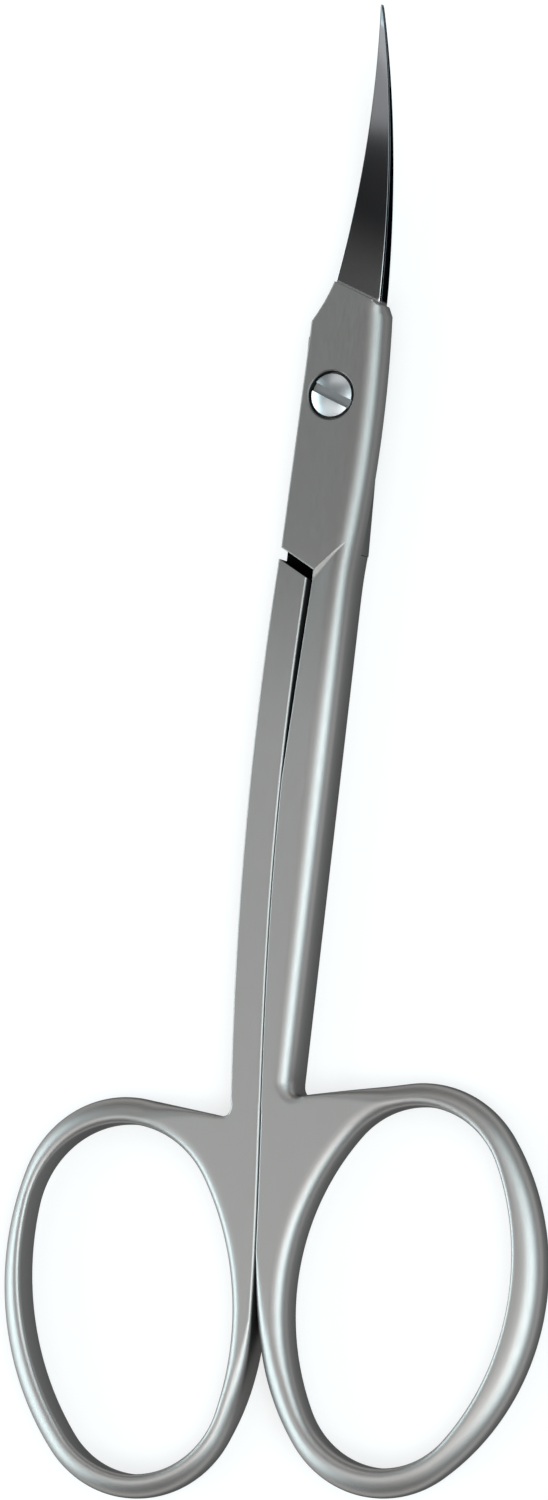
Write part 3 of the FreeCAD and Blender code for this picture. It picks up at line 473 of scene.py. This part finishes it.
rear = {
    "side": -1,
    "hole": {"middle": (8.53, -61.8), "tilt": 12.4,
            "reach": 5.22, "top": 6.88, "bottom": 6.2, "flank": 19.5},
    "rim": {"middle": (8.74, -61.42), "tilt": 11.2,
            "reach": 5.84, "top": 7.69, "bottom": 7.59, "flank": 19.69},
    "webAngle": 7, "webCorner": 1.0, "webDrop": 1.2, "leaveAngle": 24, "tongueY": -62, "rimCount": 260,
    "outerRuns": [bow((1.4, -56), (2.687, -12.172), 240), bow((2.687, -12.172), (2.62, -10), -35, 20)[1:],
                  np.array([(2.62, 4.0)])],
    "toeY": -12.2, "toeRise": 0.3, "heel": (-2.75, -10.5), "heelRightY": -9.8, "plateTop": (-2.6, 6.2),
    "rootY": 6.285, "hollow": 12, "lapEndGap": 0.8,
    "shankSamples": 80, "rowCounts": (190, 4, 22, 70, 24, 110), "lapMark": 2, "bladeMark": 6,
    "upper": {"web": 0.25, "rim": 1.8, "meeting": 0.26, "hole": (0.8, 0.55),
              "left": (0.26, 0.22, 0.1, 0.1, 0.1, 0.1, 0.03),
              "right": (0.2, 0.12, 0.1, 0.1, 0.1, 0.1, 0.03)},
    "lower": {"web": 0.3, "rim": 1.3, "meeting": 0.22, "hole": (1.1, 0.8),
              "left": (0.22, 0.22, 0.16, 0.16, 0.16, 0.16, 0.03),
              "right": ((0.3, 1.3), (1.3, 1.7), 1.7, 1.7, 1.7, (1.7, 0.3), 0.08)},
}


def between(run, lowY, highY):
    # The stretch of a rising run between two heights
    inside = run[(run[:, 1] > lowY) & (run[:, 1] < highY)]
    ends = [(np.interp(y, run[:, 1], run[:, 0]), y) for y in (lowY, highY)]
    return np.concatenate([ends[:1], inside, ends[1:]])


def bladeRuns(side, rootRightY):
    # The blade's two sides from the root to the tip, left and right as the half's own x counts them
    leftY = np.linspace(blade["rootY"], blade["tipY"], detail["bladeSamples"])
    rightY = np.linspace(rootRightY, blade["tipY"], detail["bladeSamples"])
    leftRun = np.stack([bladeEdges(leftY)[0] * side, leftY], -1)
    rightRun = np.stack([bladeEdges(rightY)[1] * side, rightY], -1)
    return (leftRun, rightRun) if side > 0 else (rightRun, leftRun)


def shoulderY(half, x, toe, heel):
    # Height of the shoulder that faces the other half's plate
    return toe[1] + (x - toe[0]) * (heel[1] - toe[1]) / (heel[0] - toe[0]) - half["lapEndGap"]


def frontWall(y):
    return meetingX(y) + stock["meetingGap"] / 2


def rearWall(y):
    return stock["meetingGap"] / 2 - meetingX(y)


def frontRows(topY, wall, sideRun):
    toe, heel, corner = [np.array(front[key]) for key in ("toe", "heel", "corner")]
    shankY = np.linspace(topY, front["closeY"], front["shankSamples"])
    meet = np.array([wall(front["closeY"]), front["closeY"]])
    rearToe, rearHeel = (meetingX(rear["toeY"]), rear["toeY"]), (-rear["heel"][0], rear["heel"][1])
    shoulder = meet + (toe - meet) * np.array([front["shoulderShare"]])
    shoulder[1] = shoulderY(front, shoulder[0], rearToe, rearHeel)
    shoulderX = sideRun[len(sideRun) // 2, 0] - front["shoulderInset"]
    shoulderRight = shoulderY(front, shoulderX, rearToe, rearHeel)
    ridgeRight, heelRight, plateTop = front["ridgeRightY"], front["heelRightY"], sideRun[-1, 1]
    rootDrop = (blade["rootRight"] - blade["rootLeft"]) * blade["rootSlope"]
    rootRight = (blade["rootRight"], blade["rootY"] - rootDrop)
    pairs = [
        (np.stack([wall(shankY), shankY], -1), between(sideRun, topY, front["closeY"])),
        ([meet, shoulder], between(sideRun, front["closeY"], shoulderRight)),
        ([shoulder, toe], between(sideRun, shoulderRight, ridgeRight)),
        ([toe, heel], between(sideRun, ridgeRight, heelRight)),
        ([heel, corner], between(sideRun, heelRight, plateTop - detail["touch"])),
        (bow(corner, (blade["rootLeft"], blade["rootY"]), front["hollow"]),
         [sideRun[-1], front["cutCorner"], rootRight]),
        bladeRuns(1, rootRight[1]),
    ]
    return [(*pair, count) for pair, count in zip(pairs, front["rowCounts"])]


def frontLevels(strip, across, mark):
    # Upper, lower and waist heights; the shank lies sunk below the plate beside its toe
    number = mark[:, None] + 0 * across
    gap = stock["lapGap"] / 2
    half = stock["thickness"] / 2
    toe = np.array(front["toe"])
    ridge = np.array([1, 1]) / math.sqrt(2)
    below = (strip[..., 0] - toe[0]) * ridge[1] - (strip[..., 1] - toe[1]) * ridge[0]
    fade = np.clip((strip[..., 1] - front["sunkStart"]) / (toe[1] - front["sunkStart"]), 0, 1) ** 2
    share = np.clip(1 - across / front["sunkWidth"], 0, 1)
    bevel = np.clip(below / np.maximum(front["bevel"] * share, detail["leastBevel"]), 0, 1)
    sunk = front["sunk"] * fade * share * bevel
    upper = stock["thickness"] - np.where(number < front["plateMark"], sunk, 0)
    lower = np.where(number < front["lapMark"], 0, half + gap)
    waist = np.where(number < front["lapMark"], half, half + gap)
    run = bladeEdges(strip[..., 1])[2]
    thick = [blade[key][0] + (blade[key][1] - blade[key][0]) * run for key in ("spine", "edge")]
    onBlade = number == front["bladeMark"]
    bend = bladeBend(strip)
    upper = np.where(onBlade, bend + thick[0] + (thick[1] - thick[0]) * across, upper)
    lower = np.where(onBlade, bend + gap, lower)
    waist = np.where(onBlade, (upper + lower) / 2, waist)
    return upper, lower, waist


def rearRows(topY, wall, sideRun):
    toe = np.array([wall(rear["toeY"]), rear["toeY"]])
    heel, plateTop = np.array(rear["heel"]), np.array(rear["plateTop"])
    frontToe, frontHeel = (-front["toe"][0], front["toe"][1]), (-front["heel"][0], front["heel"][1])
    shoulderLeft = shoulderY(rear, toe[0], frontToe, frontHeel)
    shoulderRight = shoulderY(rear, sideRun[-1, 0], frontToe, frontHeel)
    shankY = np.linspace(topY, shoulderLeft, rear["shankSamples"])
    toeRight, heelRight, cornerY = shoulderRight + rear["toeRise"], rear["heelRightY"], sideRun[-1, 1]
    pairs = [
        (np.stack([wall(shankY), shankY], -1), between(sideRun, topY, shoulderRight)),
        ([(wall(shoulderLeft), shoulderLeft), toe], between(sideRun, shoulderRight, toeRight)),
        ([toe, heel], between(sideRun, toeRight, heelRight)),
        ([heel, plateTop], between(sideRun, heelRight, cornerY - detail["touch"])),
        ([plateTop, (-blade["rootRight"], rear["rootY"])],
         bow(sideRun[-1], (-blade["rootLeft"], blade["rootY"]), -rear["hollow"])),
        bladeRuns(-1, rear["rootY"]),
    ]
    return [(*pair, count) for pair, count in zip(pairs, rear["rowCounts"])]


def rearLevels(strip, across, mark):
    # Upper, lower and waist heights; the plate is the lower half of the stock
    number = mark[:, None] + 0 * across
    gap = stock["lapGap"] / 2
    half = stock["thickness"] / 2
    upper = np.where(number < rear["lapMark"], stock["thickness"], half - gap)
    lower = 0 * across
    waist = np.where(number < rear["lapMark"], half, half - gap)
    run = bladeEdges(strip[..., 1])[2]
    thick = [blade[key][0] + (blade[key][1] - blade[key][0]) * run for key in ("spine", "edge")]
    onBlade = number == rear["bladeMark"]
    bend = bladeBend(strip)
    upper = np.where(onBlade, bend - gap, upper)
    lower = np.where(onBlade, bend - thick[0] - (thick[1] - thick[0]) * across, lower)
    waist = np.where(onBlade, (upper + lower) / 2, waist)
    return upper, lower, waist


def boreOut(piece, profile):
    # Cuts a turned hole out of a piece; the profile's radius and height go round the pivot's axis
    profile = np.array(profile)
    count = detail["boreSides"]
    angles = np.arange(count) * 2 * math.pi / count
    ring = np.stack([profile[:, None, 0] * np.cos(angles), profile[:, None, 0] * np.sin(angles),
                     profile[:, None, 1] + 0 * angles], -1)
    index = np.arange(len(profile) * count).reshape(len(profile), count)
    beside = np.roll(index, -1, 1)
    walls = np.stack([index[:-1], beside[:-1], beside[1:], index[1:]], -1).reshape(-1, 4)
    cutter = newPiece("cutter", ring.reshape(-1, 3), walls, piece.data.materials[0])
    cut = piece.modifiers.new("bore", "BOOLEAN")
    cut.object = cutter
    cut.solver = "EXACT"
    bpy.context.view_layer.update()
    done = bpy.data.meshes.new_from_object(piece.evaluated_get(bpy.context.evaluated_depsgraph_get()))
    piece.modifiers.clear()
    piece.data = done
    done.set_sharp_from_angle(angle=math.radians(detail["sharpAngle"]))
    bpy.data.objects.remove(cutter)


front["rows"], front["levels"], front["wall"] = frontRows, frontLevels, frontWall
rear["rows"], rear["levels"], rear["wall"] = rearRows, rearLevels, rearWall
steel = satinSteel()
bore = {"radius": 1.03, "thread": 1.02, "seat": 1.65, "seatZ": 2.0, "break": 0.08,
        "frontLow": 1, "over": 0.4, "rearLow": -1, "rearHigh": 2}      # the cutters reach past the plates, mm
top = stock["thickness"]
frontForging = newPiece("front_forging", *forging(front), steel)
boreOut(frontForging, [
    (0, bore["frontLow"]),
    (bore["radius"], bore["frontLow"]),
    (bore["radius"], bore["seatZ"]),
    (bore["seat"], bore["seatZ"]),
    (bore["seat"], top - bore["break"]),
    (bore["seat"] + 2 * bore["break"], top + bore["break"]),
    (0, top + bore["over"]),
])
rearForging = newPiece("rear_forging", *forging(rear), steel)
boreOut(rearForging, [
    (0, bore["rearLow"]),
    (bore["thread"], bore["rearLow"]),
    (bore["thread"], bore["rearHigh"]),
    (0, bore["rearHigh"]),
])
for piece, node in ((frontForging, "front_half"), (rearForging, "rear_half")):
    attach(piece, node)
    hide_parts(node)
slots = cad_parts["pivot_screw"].data.materials
slots.clear()
slots.append(screwSteel())
print("forgings made, steel finishes set")

# Table: a wide pale sheet just under the scissors
table = {"half": 1.5, "colour": "#FAFAFA", "roughness": 0.9, "drop": 0.02, "ownWhite": 0.7}
tableZ = cadLow[2] - table["drop"] * mm
tableMesh = bpy.data.meshes.new("table")
corners = [(x * table["half"], y * table["half"], tableZ) for x, y in ((-1, -1), (1, -1), (1, 1), (-1, 1))]
tableMesh.from_pydata(corners, [], [(0, 1, 2, 3)])
tableTop = bpy.data.objects.new("table", tableMesh)
scene.collection.objects.link(tableTop)
tableMaterial, tree = newMaterial("white_paper")
paper = addNode(tree, "ShaderNodeBsdfPrincipled", {"Base Color": linear(table["colour"]),
                                                   "Roughness": table["roughness"]})
path = addNode(tree, "ShaderNodeLightPath")
seen = path.outputs["Is Camera Ray"]
for kind in ("Is Glossy Ray", "Is Transmission Ray"):
    either = addNode(tree, "ShaderNodeMath", {"operation": "MAXIMUM"}, {0: seen, 1: path.outputs[kind]})
    seen = either.outputs[0]
share = addNode(tree, "ShaderNodeMath", {"operation": "MULTIPLY", 1: table["ownWhite"]}, {0: seen})
white = addNode(tree, "ShaderNodeEmission", {"Color": linear("#FFFFFF"), "Strength": 1.0})
ground = addNode(tree, "ShaderNodeMixShader",
                 links={0: share.outputs[0], 1: paper.outputs[0], 2: white.outputs[0]})
addNode(tree, "ShaderNodeOutputMaterial", links={"Surface": ground.outputs[0]})
tableMesh.materials.append(tableMaterial)

# Camera: looks down from the right, a little from the rings' side
view = {"turn": 23.79, "pitch": -4.05, "roll": 5.61, "distance": 520, "pixelsPerMm": 14.844,
        "aim": (0.6, -24.5), "aimPixel": (320.1, 763.6), "image": (548, 1500),
        "sensor": 24, "clipStart": 0.01}
turn, pitch, roll = [math.radians(view[key]) for key in ("turn", "pitch", "roll")]
across = Vector((math.cos(turn), 0, -math.sin(turn)))
along = Vector((-math.sin(pitch) * math.sin(turn), math.cos(pitch), -math.sin(pitch) * math.cos(turn)))
towards = across.cross(along)
right = across * math.cos(roll) + along * math.sin(roll)
up = along * math.cos(roll) - across * math.sin(roll)
shiftRight = (view["image"][0] / 2 - view["aimPixel"][0]) / view["pixelsPerMm"]
shiftUp = (view["aimPixel"][1] - view["image"][1] / 2) / view["pixelsPerMm"]
eye = (across * view["aim"][0] + along * view["aim"][1] + towards * view["distance"]
       + right * shiftRight + up * shiftUp) * mm
cameraData = bpy.data.cameras.new("camera")
cameraData.sensor_fit = "VERTICAL"
cameraData.sensor_height = view["sensor"]
cameraData.lens = view["sensor"] * view["distance"] * view["pixelsPerMm"] / view["image"][1]
cameraData.clip_start = view["clipStart"]
camera = bpy.data.objects.new("camera", cameraData)
camera.matrix_world = Matrix((right, up, towards)).transposed().to_4x4()
camera.matrix_world.translation = eye
scene.collection.objects.link(camera)
scene.camera = camera

# Soft boxes over the table: where each hangs, what it faces, its size and its brightness (white paper = 1)
middle = (0, -0.024, 0)
cool, neutral = "#DDF4FB", "#FFFFFF"
roomGlow = 0.12
lamps = {
    "softBoxOver": {"at": (-0.24, -0.21, 0.5), "faces": (-0.24, -0.21, 0),
                    "size": (0.3, 0.32), "glow": 1.4, "tint": neutral},
    "softBoxFill": {"at": (0.2, -0.1, 0.5), "faces": (0.2, -0.1, 0),
                    "size": (0.2, 0.5), "glow": 1.4, "tint": neutral},
    "softBoxRight": {"at": (0.45, -0.05, 0.54), "faces": middle,
                     "size": (0.9, 0.32), "glow": 5.4, "tint": cool},
    "softBoxNear": {"at": (0.1, -0.29, 0.58), "faces": middle,
                    "size": (0.36, 0.32), "glow": 2.0, "tint": neutral},
    "softBoxLeft": {"at": (-0.66, -0.12, 0.26), "faces": middle,
                    "size": (0.9, 0.42), "glow": 5.2, "tint": cool},
    "softBoxFar": {"at": (-0.06, 0.42, 0.46), "faces": middle,
                   "size": (0.5, 0.22), "glow": 1.4, "tint": neutral},
}
for name, lamp in lamps.items():
    lightData = bpy.data.lights.new(name, "AREA")
    lightData.shape = "RECTANGLE"
    lightData.size, lightData.size_y = lamp["size"]
    lightData.energy = lamp["glow"] * math.pi * lamp["size"][0] * lamp["size"][1]    # watts of a flat lamp
    lightData.color = linear(lamp["tint"])[:3]
    light = bpy.data.objects.new(name, lightData)
    spot = Vector(lamp["at"])
    light.matrix_world = (Vector(lamp["faces"]) - spot).to_track_quat("-Z", "Y").to_matrix().to_4x4()
    light.matrix_world.translation = spot
    scene.collection.objects.link(light)
world = bpy.data.worlds.new("studio")
world.use_nodes = True
background = world.node_tree.nodes["Background"]
background.inputs["Color"].default_value = linear(neutral)
background.inputs["Strength"].default_value = roomGlow
scene.world = world
print("camera and lamps set")
